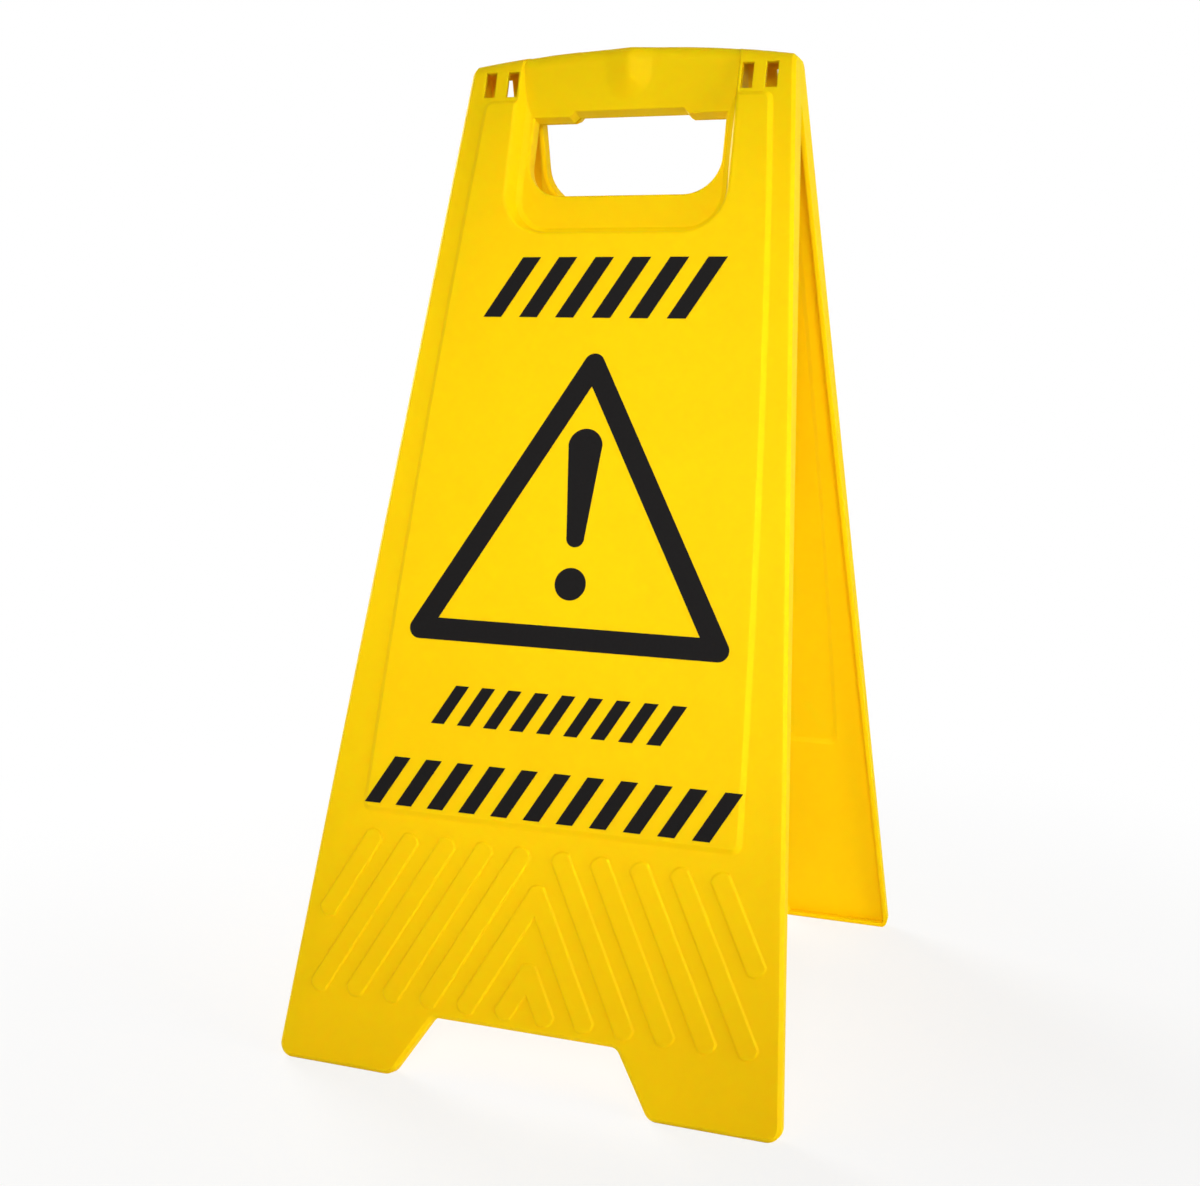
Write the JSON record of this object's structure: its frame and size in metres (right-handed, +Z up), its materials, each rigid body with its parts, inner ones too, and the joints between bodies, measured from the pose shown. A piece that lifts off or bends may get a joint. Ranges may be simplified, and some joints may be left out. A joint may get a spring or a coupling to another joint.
{
  "type": "a-frame caution sign",
  "caption": "Folding A-frame floor caution sign: hinged yellow plastic tray panels that share a carrying grip, with a raised print field and chevron ribs.",
  "frame": {"origin": "on the floor, midway between the panels and between their sides", "axes": "+Z up, X along the hinge, the front panel's printed face towards -Y, panels open"},
  "size_m": [0.3002, 0.3538, 0.5926],
  "materials": {
    "yellow_polypropylene": "satin moulded",
    "yellow_acetal": "smooth moulded"
  },
  "bodies": {
    "front": {"front_panel": "yellow_polypropylene", "right_hinge_pin": "yellow_acetal"},
    "rear": {"rear_panel": "yellow_polypropylene", "left_hinge_pin": "yellow_acetal"}
  },
  "joints": [
    {"name": "panel_fold", "type": "hinge", "parent": "front", "child": "rear", "pos_m": [0, 0, 0.55798], "axis": [-1, 0, 0], "range_deg": [0, 33.6]}
  ]
}
